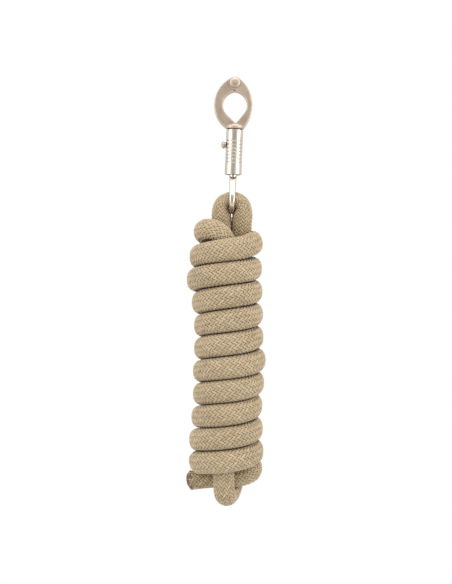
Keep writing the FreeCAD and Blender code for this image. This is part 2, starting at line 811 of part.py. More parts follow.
def route_wire(name, points):
    """Straight runs joined by tangent arcs, as large as each pair of runs allows."""
    corners = [Vector(*p) for p in points]
    edges = []
    radii = []
    start = corners[0]
    for before, corner, after in zip(corners, corners[1:], corners[2:]):
        into = (corner - before).normalize()
        out = (after - corner).normalize()
        turn = into.getAngle(out)
        reach = RUN_SHARE * min((corner - before).Length, (after - corner).Length)
        radii.append(reach / math.tan(turn / 2))
        first = corner - into * reach
        last = corner + out * reach
        middle = corner + (out - into).normalize() * (radii[-1] / math.cos(turn / 2) - radii[-1])
        edges.append(Part.LineSegment(start, first).toShape())
        edges.append(Part.Arc(first, middle, last).toShape())
        start = last
    edges.append(Part.LineSegment(start, corners[-1]).toShape())
    print(name, "radii", [round(r, 1) for r in radii])
    return Part.Wire(edges)


def rope_tube(name, points, diameter):
    """Rope of one diameter along a route, checked against its section times its length."""
    path = route_wire(name, points)
    along = Vector(*points[1]) - Vector(*points[0])
    section = Part.Wire(Part.makeCircle(diameter / 2, Vector(*points[0]), along))
    tube = path.makePipeShell([section], True, True)
    expected = math.pi * diameter**2 / 4 * path.Length
    if abs(tube.Volume / expected - 1) > 0.01:
        raise RuntimeError(f"{name} has volume {tube.Volume:.0f}, not {expected:.0f}")
    print(name, "length", round(path.Length, 1))
    return tube


def placed(name, shape):
    """A rope piece at the hank's placement."""
    piece = doc.addObject("Part::Feature", name)
    piece.Shape = shape
    piece.Placement = hank_place()
    return piece


# Routes are in the hank's frame: the eye's centre is its origin and the hank hangs straight down.
RUN_SHARE = 0.45
MOST_OF_A_PIECE = 0.8
EYE_LOOP = [
    (7.4, 5.6, -31.0),
    (9.5, 3.0, -20.5),
    (9.7, 0.0, 0.0),
    (-10.1, 0.0, 0.0),
    (-9.9, 3.0, -20.5),
    (-7.8, 5.6, -31.0),
]
START_BEND = [
    (-3.2, -8.0, -62.0),
    (-3.2, -9.5, -40.0),
    (-10.0, -19.0, -27.0),
    (-24.0, -14.0, -22.5),
    (-25.5, 7.0, -26.0),
    (-16.0, 22.0, -28.0),
    (0.0, 26.0, -31.0),
]
BOTTOM_LOOP = [
    (-0.8, 16.0, -206.0),
    (-0.8, 16.8, -224.0),
    (-2.0, 16.8, -243.2),
    (-6.0, -16.8, -243.2),
    (-7.0, -16.8, -224.0),
    (-7.0, -16.0, -206.0),
]
TAIL = [
    (-35.0, 1.0, -230.5),
    (-17.0, 0.5, -228.0),
    (1.5, -0.5, -227.8),
    (19.0, 2.5, -223.0),
    (16.5, 18.5, -215.0),
]


def make_rope():
    """Hank and the four stretches of rope that leave it, each a closed solid of its own."""
    rope = size("rope_diameter")
    folded = size("folded_diameter")
    loop = rope_tube("rope_eye_loop", EYE_LOOP, size("eye_loop_diameter"))
    bend = rope_tube("rope_start_bend", START_BEND, rope)
    bottom = rope_tube("rope_bottom_loop", BOTTOM_LOOP, folded)
    tail = rope_tube("rope_tail", TAIL, folded)

    height = size("hank_bottom") - size("hank_top")
    centre = Vector(-size("hank_left"), 0, -size("hank_bottom"))
    depth_axis, width_axis = size("hank_half_depth"), size("hank_half_width")
    oval = Part.Ellipse(centre, depth_axis, width_axis)
    turned = Part.Wire(oval.toShape())
    turned.rotate(centre, Z_AXIS, 90)
    hank = Part.Face(turned).extrude(Z_AXIS * height)
    hank = hank.makeFillet(size("hank_rounding"), [e for e in hank.Edges if e.isClosed()])

    lowest = -size("ferrule_top") - size("ferrule_height")
    middle = Vector(-size("ferrule_left"), size("ferrule_back"), lowest)
    wall = size("ferrule_wall")
    ovals = [
        Part.Ellipse(middle, size("ferrule_half_width") - inset, size("ferrule_half_depth") - inset)
        for inset in (0, wall)
    ]
    rise = Z_AXIS * size("ferrule_height")
    band, hole = (Part.Face(Part.Wire(oval.toShape())).extrude(rise) for oval in ovals)
    ferrule = band.cut(hole)

    end, before = Vector(*TAIL[0]), Vector(*TAIL[1])
    seal = Part.makeCylinder(folded / 2, size("seal_length"), end, end - before)

    loop = loop.cut([bend, ferrule])
    for inner in (tail, bottom, loop, bend, ferrule):
        carved = hank.cut(inner)
        if hank.Volume - carved.Volume < MOST_OF_A_PIECE * min(inner.Volume, ferrule.Volume):
            raise RuntimeError("a rope piece leaves no hollow in the hank")
        hank = carved
    return [
        placed("rope_eye_loop", loop),
        placed("loop_ferrule", ferrule),
        placed("rope_start_bend", bend),
        placed("rope_hank", hank),
        placed("rope_bottom_loop", bottom),
        placed("rope_tail", tail),
        placed("heat_sealed_end", seal),
    ]


# ---------------------------------------------------------------- assembly and export

NODES = {
    "hook_body": make_hook(),
    "jaw_rivet": make_rivet(),
    "stem_retaining_pin": retaining_pin("stem_retaining_pin"),
    "release_jaw": make_jaw(),
    "lock_sleeve": make_sleeve(),
    "thumb_stud": make_stud(),
    "swivel_stem": make_stem(),
    "spring_seat_washer": make_washer(),
    "stem_clip": make_clip(),
    "sleeve_spring": make_spring(),
}
NODES.update({piece.Name: piece for piece in make_rope()})

for label, feature in NODES.items():
    feature.Label = label
doc.recompute()

for feature in doc.Objects:
    if "Invalid" in feature.State or "Error" in feature.State:
        raise RuntimeError(f"{feature.Label} failed to recompute: {feature.State}")
for label, feature in NODES.items():
    if feature.Shape.isNull() or not feature.Shape.isValid():
        raise RuntimeError(f"{label} has no valid shape")

os.makedirs("parts", exist_ok=True)
for label, feature in NODES.items():
    feature.Shape.exportStep(f"parts/{label}.step")
    shape = feature.Shape
    levels = f"z {shape.BoundBox.ZMin:.1f}..{shape.BoundBox.ZMax:.1f}"
    print(f"{label}: {shape.Volume:.0f} mm3, {len(shape.Solids)} solid, {levels}")
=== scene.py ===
import math

import bpy
import numpy as np
from mathutils import Matrix, Vector


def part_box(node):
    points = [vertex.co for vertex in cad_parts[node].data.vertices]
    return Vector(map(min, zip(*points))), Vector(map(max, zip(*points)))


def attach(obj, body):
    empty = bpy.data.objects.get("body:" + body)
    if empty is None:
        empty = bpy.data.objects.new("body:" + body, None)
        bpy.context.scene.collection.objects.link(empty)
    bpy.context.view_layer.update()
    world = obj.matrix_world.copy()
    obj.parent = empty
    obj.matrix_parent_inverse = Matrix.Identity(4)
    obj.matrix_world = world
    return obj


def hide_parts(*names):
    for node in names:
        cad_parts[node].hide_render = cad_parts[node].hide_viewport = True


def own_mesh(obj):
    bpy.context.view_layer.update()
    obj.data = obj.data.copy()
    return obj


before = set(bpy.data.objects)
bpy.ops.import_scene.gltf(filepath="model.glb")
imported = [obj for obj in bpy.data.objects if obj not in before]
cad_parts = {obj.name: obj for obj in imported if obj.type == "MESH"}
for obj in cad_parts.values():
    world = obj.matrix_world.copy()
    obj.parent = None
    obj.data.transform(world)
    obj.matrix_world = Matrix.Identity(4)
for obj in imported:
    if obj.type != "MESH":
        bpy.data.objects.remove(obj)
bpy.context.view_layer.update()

RNG = np.random.default_rng(7)
EYE_CENTRE_Z = -0.0882
HANK_TILT = math.radians(2.2)


def linked(name, data):
    """A new object of the scene, made from its data."""
    piece = bpy.data.objects.new(name, data)
    bpy.context.collection.objects.link(piece)
    return piece


# ---------------------------------------------------------------- camera


def make_camera():
    """Level camera in front, rolled so that the hank hangs upright in the picture."""
    distance = 0.95
    height_in_view = 0.479
    aim = Vector((-0.0021, 0.0, -0.1640))
    data = bpy.data.cameras.new("camera")
    data.sensor_fit = "VERTICAL"
    data.sensor_height = 24.0
    data.lens = data.sensor_height * distance / height_in_view
    camera = linked("camera", data)
    right = Vector((math.cos(HANK_TILT), 0.0, math.sin(HANK_TILT)))
    up = Vector((-math.sin(HANK_TILT), 0.0, math.cos(HANK_TILT)))
    back = Vector((0.0, -1.0, 0.0))
    turn = Matrix((right, up, back)).transposed().to_4x4()
    camera.matrix_world = Matrix.Translation(aim + back * distance) @ turn
    bpy.context.scene.camera = camera


make_camera()


# ---------------------------------------------------------------- the rope's route

# The route is in metres from the eye's centre, with the hank hanging straight down.
ROPE_DIAMETER = 0.0175
PITCH = 0.0187
POINTS_PER_TURN = 16
FIRST_COIL_TURN = 0.5
LAST_COIL_TURN = 9.75
COIL_START_Z = -0.03295
COIL_HALF_DEPTH = 0.0258
# A quadratic spline runs this share of the way out to a round coil's control points.
SPLINE_REACH = (3 + math.cos(2 * math.pi / POINTS_PER_TURN)) / 4
# How far the rope's middle stands out on each side of the eye, turn by turn from the top.
LEFT_OF_EYE = (0.0265, 0.0290, 0.0247, 0.0229, 0.0229, 0.0238, 0.0238, 0.0251, 0.0270, 0.0272)
RIGHT_OF_EYE = (0.0153, 0.0162, 0.0166, 0.0170, 0.0173, 0.0192, 0.0179, 0.0164, 0.0169, 0.0174)

EYE_LOOP = [
    (-0.0080, 0.0082, -0.0465),
    (-0.0078, 0.0056, -0.0310),
    (-0.0083, 0.0020, -0.0165),
    (-0.0101, 0.0000, -0.0050),
    (-0.0045, 0.0000, 0.0000),
    (0.0041, 0.0000, 0.0000),
    (0.0097, 0.0000, -0.0050),
    (0.0079, 0.0020, -0.0165),
    (0.0074, 0.0056, -0.0310),
]
BACK_STRAND = [
    (0.0068, 0.0085, -0.0480),
    (0.0030, 0.0085, -0.0800),
    (0.0000, 0.0088, -0.1350),
    (-0.0005, 0.0110, -0.1900),
]
BOTTOM_LOOP = [
    (0.0008, 0.0150, -0.2100),
    (0.0012, 0.0155, -0.2260),
    (0.0002, 0.0135, -0.2390),
    (-0.0030, 0.0045, -0.2425),
    (-0.0050, -0.0055, -0.2425),
    (-0.0064, -0.0140, -0.2385),
    (-0.0070, -0.0160, -0.2260),
    (-0.0068, -0.0150, -0.2100),
]
FRONT_STRAND = [
    (-0.0055, -0.0100, -0.1880),
    (-0.0035, -0.0085, -0.1300),
    (-0.0032, -0.0085, -0.0680),
]
START_BEND = [
    (-0.0028, -0.0100, -0.0440),
    (-0.0060, -0.0165, -0.0310),
    (-0.0140, -0.0190, -0.0250),
    (-0.0215, -0.0130, -0.0245),
    (-0.0240, 0.0020, -0.0265),
    (-0.0200, 0.0160, -0.0295),
    (-0.0100, 0.0250, -0.0318),
    (0.0030, 0.0262, -0.0330),
    (0.0130, 0.0190, -0.0336),
    (0.0175, 0.0050, -0.0345),
    (0.0150, -0.0110, -0.0375),
    (0.0070, -0.0225, -0.0405),
]
TAIL = [
    (-0.0235, 0.0120, -0.2140),
    (-0.0120, 0.0240, -0.2140),
    (0.0040, 0.0265, -0.2150),
    (0.0165, 0.0185, -0.2175),
    (0.0190, 0.0025, -0.2230),
    (0.0100, -0.0005, -0.2272),
    (0.0000, -0.0005, -0.2280),
    (-0.0170, 0.0005, -0.2280),
    (-0.0350, 0.0010, -0.2305),
]


def hang(point):
    """A route point, in the row frame."""
    x, y, z = point
    across = x * math.cos(HANK_TILT) - z * math.sin(HANK_TILT)
    along = x * math.sin(HANK_TILT) + z * math.cos(HANK_TILT)
    return Vector((across, y, along + EYE_CENTRE_Z))


def coil_turns():
    """The hank's turns, a right-handed helix wound downwards round the two inner strands."""
    points = []
    middles = np.arange(len(LEFT_OF_EYE))
    first = round(FIRST_COIL_TURN * POINTS_PER_TURN)
    last = round(LAST_COIL_TURN * POINTS_PER_TURN)
    for step in range(first, last + 1):
        turn = step / POINTS_PER_TURN
        angle = math.pi / 2 - 2 * math.pi * turn
        left = np.interp(turn - 0.75, middles, LEFT_OF_EYE)
        right = np.interp(turn - 0.25, middles, RIGHT_OF_EYE)
        half_width = (left + right) / 2 / SPLINE_REACH
        half_depth = COIL_HALF_DEPTH / SPLINE_REACH
        x = (right - left) / 2 + half_width * math.cos(angle)
        y = half_depth * math.sin(angle)
        points.append((x, y, COIL_START_Z - PITCH * turn))
    return points


def smooth_curve(name, points):
    """One open quadratic spline through the row frame."""
    data = bpy.data.curves.new(name, "CURVE")
    data.dimensions = "3D"
    data.resolution_u = 10
    spline = data.splines.new("NURBS")
    spline.points.add(len(points) - 1)
    for target, point in zip(spline.points, points):
        target.co = (*point, 1.0)
    spline.order_u = 3
    spline.use_endpoint_u = True
    return linked(name, data)


def sampled(curve, spacing):
    """Evenly spaced points along a curve that has no bevel yet."""
    bpy.context.view_layer.update()
    line = bpy.data.meshes.new_from_object(curve)
    points = np.array([v.co for v in line.vertices])
    bpy.data.meshes.remove(line)
    run = np.concatenate([[0], np.cumsum(np.linalg.norm(np.diff(points, axis=0), axis=1))])
    even = np.linspace(0, run[-1], round(run[-1] / spacing) + 1)
    return np.stack([np.interp(even, run, points[:, axis]) for axis in range(3)], axis=1), even


def unit(vectors):
    """The same directions, one long."""
    return vectors / np.maximum(np.linalg.norm(vectors, axis=-1, keepdims=True), 1e-12)


def smoothed(values, width):
    """Each row averaged with its neighbours over about that many samples."""
    reach = 2 * width
    weights = np.exp(-0.5 * (np.arange(-reach, reach + 1) / width) ** 2)
    weights /= weights.sum()
    padded = np.pad(values, ((reach, reach), (0, 0)), mode="edge")
    return np.stack([np.convolve(column, weights, mode="valid") for column in padded.T], axis=1)


before_coil = EYE_LOOP + BACK_STRAND + BOTTOM_LOOP + FRONT_STRAND + START_BEND
coil = coil_turns()
rope_core = smooth_curve("rope_core", [hang(p) for p in before_coil + coil + TAIL])
# Spacing of the samples along the rope; the smoothing widths below are counts of samples.
SAMPLE = 0.0009
LINE_SMOOTHING = 2
centre, along = sampled(rope_core, SAMPLE)
centre = smoothed(centre, LINE_SMOOTHING)


# ---------------------------------------------------------------- the braid

YARNS_EACH_WAY = 22
LAY_LENGTH = 0.0640
YARN_THICKNESS = 0.0012
WEAVE_HEIGHT = 0.00048
# Share of the way round the rope that the yarns of one hand take up.
YARN_FILL = 0.99
# Each yarn goes over two and under two.
WEAVE_REPEAT = 4
FLOAT_FLATNESS = 1.6
FLOAT_SPREAD = 0.05
# Least and most that a bend changes the lay on its inside and its outside.
LAY_LIMITS = (0.3, 2.0)
# A yarn's section: across in half widths, out in half thicknesses, and how much painted light it
# gets there (0 is painted shade).
SECTION = (
    (-1.0, -0.1, 0.0),
    (-0.62, 0.70, 0.85),
    (0.0, 1.0, 1.0),
    (0.62, 0.70, 0.85),
    (1.0, -0.1, 0.0),
    (0.0, -0.8, 0.0),
)
# How far a yarn's colour is its own, and how far it drifts along the yarn.
OWN_TONE = 0.10
DRIFT_TONE = 0.35
DRIFT_SMOOTHING = 30
BRAID_PIECES = 9


def nearest(point):
    """Index of the sample nearest to a route point."""
    return int(np.argmin(np.linalg.norm(centre - np.array(hang(point)), axis=1)))


tangent = unit(np.gradient(centre, axis=0))
BEND_SMOOTHING = 4
bend = smoothed(np.gradient(tangent, axis=0) / SAMPLE, BEND_SMOOTHING)
bend -= tangent * np.sum(bend * tangent, axis=1, keepdims=True)
curvature = np.linalg.norm(bend, axis=1)
inward = unit(bend)
sideways = np.cross(tangent, inward)

# Where the loop in the eye, the hank's turns and the tail lie along the rope.
loop_end = along[nearest(EYE_LOOP[-1])]
coil_first = along[nearest(START_BEND[6])]
coil_last = along[nearest(TAIL[1])]
tail_start = along[nearest(TAIL[3])]
loop_top = along[nearest(EYE_LOOP[4])]
# The rope is thinnest in the eye, and thinner in the loop's legs and the tail than in the turns.
PINCHED_RADIUS = 0.0077
LEG_RADIUS = 0.0084
WOUND_RADIUS = ROPE_DIAMETER / 2
TAIL_RADIUS = 0.0079
# Runs of rope over which it changes from one to the next.
PINCH_RUN = 0.02
THICKENING_RUN = 0.03
WINDING_RUN = 0.02
free_radius = np.interp(
    along,
    [
        0,
        loop_top - PINCH_RUN,
        loop_top,
        loop_top + PINCH_RUN,
        loop_end + THICKENING_RUN,
        tail_start - THICKENING_RUN,
        tail_start,
    ],
    [
        LEG_RADIUS,
        LEG_RADIUS,
        PINCHED_RADIUS,
        LEG_RADIUS,
        WOUND_RADIUS,
        WOUND_RADIUS,
        TAIL_RADIUS,
    ],
)
wound = np.interp(
    along,
    [
        coil_first - WINDING_RUN,
        coil_first + WINDING_RUN,
        coil_last - WINDING_RUN,
        coil_last + WINDING_RUN,
    ],
    [0, 1, 1, 0],
)
# Wound turns are pressed flat on each other, and a bend flattens the rope, up to a tight one.
WOUND_SWELL = 0.00055
WOUND_SQUARENESS = 0.35
BEND_FLATTENING = 0.0013
GENTLE_CURVATURE = 10
TIGHT_CURVATURE = 100
tightness = (curvature - GENTLE_CURVATURE) / (TIGHT_CURVATURE - GENTLE_CURVATURE)
half_high = free_radius + wound * WOUND_SWELL
half_thick = free_radius - BEND_FLATTENING * np.clip(tightness, 0, 1)
squareness = 2 + WOUND_SQUARENESS * wound


def parallel_frame():
    """A direction across the rope that doesn't twist as it follows it."""
    across = np.empty_like(tangent)
    across[0] = unit(np.cross(tangent[0], (0.0, 1.0, 0.0)))
    for i in range(1, len(tangent)):
        carried = across[i - 1] - tangent[i] * np.dot(across[i - 1], tangent[i])
        across[i] = carried / np.linalg.norm(carried)
    return across, np.cross(tangent, across)


def yarn_rings():
    """Section points of every yarn (yarn, sample, corner, xyz), and how high each floats."""
    first_axis, second_axis = parallel_frame()
    step = np.arange(YARNS_EACH_WAY) / YARNS_EACH_WAY
    crossing = 2 * YARNS_EACH_WAY * along / LAY_LENGTH
    index = np.arange(YARNS_EACH_WAY)[:, None]
    turn = 2 * np.pi * along / LAY_LENGTH
    rings, heights = [], []
    for hand in (1, -1):
        angle = 2 * np.pi * step[:, None] + hand * turn
        place = 2 * index + hand * crossing
        wave = np.cos(2 * np.pi * (place - 0.5) / WEAVE_REPEAT)
        height = hand * np.tanh(FLOAT_FLATNESS * wave) / math.tanh(FLOAT_FLATNESS)
        direction = np.cos(angle)[..., None] * first_axis + np.sin(angle)[..., None] * second_axis
        on_side = np.sum(direction * sideways, axis=-1)
        on_bend = np.sum(direction * inward, axis=-1)
        power = squareness
        reach = (np.abs(on_side) / half_high) ** power + (np.abs(on_bend) / half_thick) ** power
        radius = reach ** (-1 / power)
        slope_side = np.sign(on_side) * (np.abs(on_side) / half_high) ** (power - 1) / half_high
        slope_bend = np.sign(on_bend) * (np.abs(on_bend) / half_thick) ** (power - 1) / half_thick
        outward = unit(slope_side[..., None] * sideways + slope_bend[..., None] * inward)
        depth = YARN_THICKNESS / 2 + WEAVE_HEIGHT * (1 - height)
        middle = centre + direction * radius[..., None] - outward * depth[..., None]
        stretch = np.clip(1 - on_bend * radius * curvature, *LAY_LIMITS)
        lean = np.arctan2(2 * np.pi * radius, LAY_LENGTH * stretch)
        width = YARN_FILL * 2 * np.pi * radius / YARNS_EACH_WAY * np.cos(lean)
        width *= 1 + FLOAT_SPREAD * height
        heading = unit(np.gradient(middle, axis=1))
        breadth = unit(np.cross(heading, outward))
        normal = np.cross(breadth, heading)
        ring = [
            middle + breadth * (u * width / 2)[..., None] + normal * (v * YARN_THICKNESS / 2)
            for u, v, _ in SECTION
        ]
        rings.append(np.stack(ring, axis=2))
        heights.append(height)
    return np.concatenate(rings), np.concatenate(heights)


def strands_mesh(name, rings, tone, painted_light):
    """Closed strands from their section points, each laid out in a band of its own in the map."""
    strands, count, corners, _ = rings.shape
    number = np.arange(strands * count * corners).reshape(strands, count, corners)
    near, far = number[:, :-1], number[:, 1:]
    sides = np.stack([near, far, np.roll(far, -1, axis=2), np.roll(near, -1, axis=2)], axis=-1)
    sides = sides.reshape(-1, 4)
    ends = np.concatenate([number[:, 0], number[:, -1, ::-1]])
    data = bpy.data.meshes.new(name)
    data.vertices.add(rings.size // 3)
    data.vertices.foreach_set("co", rings.astype(np.float32).ravel())
    data.loops.add(sides.size + ends.size)
    data.loops.foreach_set("vertex_index", np.concatenate([sides.ravel(), ends.ravel()]))
    totals = np.concatenate([np.full(len(sides), 4), np.full(len(ends), corners)])
    starts = np.concatenate([[0], np.cumsum(totals)[:-1]])
    data.polygons.add(len(totals))
    data.polygons.foreach_set("loop_start", starts)
    data.polygons.foreach_set("loop_total", totals)
    data.polygons.foreach_set("use_smooth", np.ones(len(totals), bool))

    u = np.arange(count) / (count - 1)
    band = np.arange(strands)[:, None, None]
    margin = 0.04
    across = margin + (1 - 2 * margin) * np.arange(corners + 1) / corners
    u_low = np.broadcast_to(u[:-1][None, :, None], (strands, count - 1, corners))
    u_high = np.broadcast_to(u[1:][None, :, None], (strands, count - 1, corners))
    v_low = np.broadcast_to((band + across[:-1]) / strands, u_low.shape)
    v_high = np.broadcast_to((band + across[1:]) / strands, u_low.shape)
    side_map = np.stack(
        [u_low, v_low, u_high, v_low, u_high, v_high, u_low, v_high], axis=-1
    ).reshape(-1, 2)
    end_map = np.zeros((ends.size, 2))
    end_map[:, 1] = np.repeat((np.tile(np.arange(strands), 2) + 0.5) / strands, corners)
    layer = data.uv_layers.new(name="OFBake")
    layer.data.foreach_set("uv", np.concatenate([side_map, end_map]).astype(np.float32).ravel())
    for attribute, values in (("tone", tone), ("painted_light", painted_light)):
        layer = data.attributes.new(attribute, "FLOAT", "POINT")
        layer.data.foreach_set("value", values.astype(np.float32).ravel())
    data.update()
    data.validate()
    return linked(name, data)


def make_braid():
    """The braided cover, in stretches that follow each other along the rope."""
    rings, height = yarn_rings()
    yarns, count, corners, _ = rings.shape
    own = RNG.normal(0, 1, (yarns, 1))
    drift = smoothed(RNG.normal(0, 1, (count, yarns)), DRIFT_SMOOTHING).T
    tone = np.repeat((0.5 + OWN_TONE * own + DRIFT_TONE * drift)[..., None], corners, axis=2)
    # Painted shade: each yarn is darker at its edges and underside, and more so where it dips under
    # the crossing yarns.
    section_lit_share = np.array([lit_share for _, _, lit_share in SECTION])
    painted_light = section_lit_share * (0.70 + 0.30 * height[..., None])
    cuts = np.linspace(0, count - 1, BRAID_PIECES + 1).round().astype(int)
    return [
        strands_mesh(f"braid_{i + 1}", *(v[:, a : b + 1] for v in (rings, tone, painted_light)))
        for i, (a, b) in enumerate(zip(cuts, cuts[1:]))
    ]


braid = make_braid()
# The core is thinner in the folds, where the braid is pressed flat over it.
CORE_RADIUS = 0.0064
CORE_IN_FOLDS = 0.78
for i, point in enumerate(rope_core.data.splines[0].points):
    wound_here = len(before_coil) <= i < len(before_coil) + len(coil)
    point.radius = 1.0 if wound_here else CORE_IN_FOLDS
rope_core.data.bevel_depth = CORE_RADIUS
rope_core.data.bevel_resolution = 4
rope_core.data.use_fill_caps = True


# ---------------------------------------------------------------- small pieces


def make_sealed_end():
    """Melted yarn ends, drawn in to an uneven, glossy scab."""
    end = centre[-1]
    axis = Vector(tangent[-1])
    side = axis.orthogonal().normalized()
    other = axis.cross(side)
    segments, steps = 64, 14
    height, overlap = 0.0026, 0.0014
    fullness = 0.55
    points, faces = [], []
    for step in range(steps):
        share = step / (steps - 1)
        swell = math.cos(share * math.pi / 2) ** fullness
        rise = height * math.sin(share * math.pi / 2)
        for segment in range(segments):
            angle = 2 * math.pi * segment / segments
            ripple = 0.05 * math.sin(5 * angle + 1.1) + 0.03 * math.sin(11 * angle + 4 * share)
            dimple = 0.0005 * math.sin(3 * angle + 9 * share) * share
            reach = TAIL_RADIUS * 0.99 * swell * (1 + ripple * (1 - share))
            spot = Vector(end) + axis * (rise + dimple - overlap * (1 - share))
            points.append(spot + side * reach * math.cos(angle) + other * reach * math.sin(angle))
    for step in range(steps - 1):
        for segment in range(segments):
            following = (segment + 1) % segments
            a, b = step * segments, (step + 1) * segments
            faces.append((a + segment, a + following, b + following, b + segment))
    faces.append(tuple((steps - 1) * segments + s for s in range(segments)))
    faces.append(tuple(reversed(range(segments))))
    data = bpy.data.meshes.new("sealed_end")
    data.from_pydata(points, [], faces)
    data.polygons.foreach_set("use_smooth", np.ones(len(faces), bool))
    data.update()
    return linked("sealed_end", data)


def make_spring():
    """Round-wire compression spring with closed ends, between the sleeve's web and its washer."""
    wire_radius, mean_radius = 0.00045, 0.0044
    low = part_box("spring_seat_washer")[1][2] + wire_radius
    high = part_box("sleeve_spring")[1][2] - wire_radius
    turns, per_turn, closed = 7.0, 24, 1.0
    points = []
    for step in range(round(turns * per_turn) + 1):
        turn = step / per_turn
        share = min(max((turn - closed) / (turns - 2 * closed), 0), 1)
        height = low + (high - low) * share
        angle = 2 * math.pi * turn
        points.append((mean_radius * math.cos(angle), mean_radius * math.sin(angle), height))
    wire = smooth_curve("spring_line", points)
    wire.data.bevel_depth = wire_radius
    wire.data.bevel_resolution = 3
    wire.data.resolution_u = 3
    wire.data.use_fill_caps = True
    bpy.context.view_layer.update()
    data = bpy.data.meshes.new_from_object(wire)
    bpy.data.objects.remove(wire)
    data.polygons.foreach_set("use_smooth", np.ones(len(data.polygons), bool))
    data.materials.clear()
    return linked("spring_coil", data)


sealed_end = make_sealed_end()
spring_coil = make_spring()


# ---------------------------------------------------------------- materials


def linear(red, green, blue):
    """A colour given in 8-bit sRGB."""
    shares = [c / 255 for c in (red, green, blue)]
    return [s / 12.92 if s <= 0.04045 else ((s + 0.055) / 1.055) ** 2.4 for s in shares] + [1.0]


class Nodes:
    """A material and short ways to add and join its nodes."""

    def __init__(self, name):
        self.material = bpy.data.materials.new(name)
        self.material.use_nodes = True
        self.tree = self.material.node_tree
        self.shader = self.tree.nodes["Principled BSDF"]

    def add(self, kind, **inputs):
        node = self.tree.nodes.new(kind)
        for name, value in inputs.items():
            node.inputs[name.replace("_", " ")].default_value = value
        return node

    def join(self, source, target):
        self.tree.links.new(source, target)

    def ramp(self, source, stops):
        node = self.tree.nodes.new("ShaderNodeValToRGB")
        elements = node.color_ramp.elements
        while len(elements) < len(stops):
            elements.new(0.5)
        for element, (position, colour) in zip(elements, stops):
            element.position = position
            element.color = colour
        self.join(source, node.inputs["Fac"])
        return node.outputs["Color"]

    def bump(self, height, distance, strength=1.0, under=None):
        node = self.add("ShaderNodeBump", Strength=strength, Distance=distance)
        self.join(height, node.inputs["Height"])
        if under is not None:
            self.join(under, node.inputs["Normal"])
        return node.outputs["Normal"]

    def multiplied(self, first, second):
        node = self.tree.nodes.new("ShaderNodeMix")
        node.data_type = "RGBA"
        node.blend_type = "MULTIPLY"
        node.inputs[0].default_value = 1.0
        self.join(first, node.inputs[6])
        self.join(second, node.inputs[7])
        return node.outputs[2]

    def place(self, scale):
        """Object coordinates, scaled."""
        coordinates = self.tree.nodes.new("ShaderNodeTexCoord")
        mapping = self.add("ShaderNodeMapping", Scale=scale)
        self.join(coordinates.outputs["Object"], mapping.inputs["Vector"])
        return mapping.outputs["Vector"]

    def noise(self, vector, scale, detail=3.0, roughness=0.55):
        node = self.add("ShaderNodeTexNoise", Scale=scale, Detail=detail, Roughness=roughness)
        self.join(vector, node.inputs["Vector"])
        return node.outputs["Fac"]


def grey(level):
    """A grey of that linear brightness."""
    return [level, level, level, 1.0]


def metal(name, colour, rough, grain_scale, grain_depth, stretch=(1, 1, 1), edge=0.00025):
    """Plated metal: fine grain, soft edges, painted shade in crevices and a cloudy polish."""
    nodes = Nodes(name)
    shader = nodes.shader
    shader.inputs["Metallic"].default_value = 1.0
    clouds = nodes.noise(nodes.place((1, 1, 1)), 90.0, 4.0)
    dull = [c * 0.93 for c in colour[:3]] + [1.0]
    clear = [min(1.0, c * 1.04) for c in colour[:3]] + [1.0]
    tone = nodes.ramp(clouds, [(0.3, dull), (0.7, clear)])
    # Painted shade: ambient occlusion darkens the base colour in crevices, grooves and slots.
    crevice = nodes.add("ShaderNodeAmbientOcclusion", Distance=0.0025)
    crevice.samples = 6
    depth = nodes.ramp(crevice.outputs["AO"], [(0.25, grey(0.10)), (0.75, grey(1.0))])
    nodes.join(nodes.multiplied(tone, depth), shader.inputs["Base Color"])
    polish = nodes.ramp(clouds, [(0.25, grey(rough * 0.85)), (0.75, grey(rough * 1.2))])
    nodes.join(polish, shader.inputs["Roughness"])
    grain = nodes.noise(nodes.place(stretch), grain_scale, 2.0)
    soft = nodes.tree.nodes.new("ShaderNodeBevel")
    soft.samples = 4
    soft.inputs["Radius"].default_value = edge
    nodes.join(nodes.bump(grain, grain_depth, 1.0, soft.outputs["Normal"]), shader.inputs["Normal"])
    return nodes.material


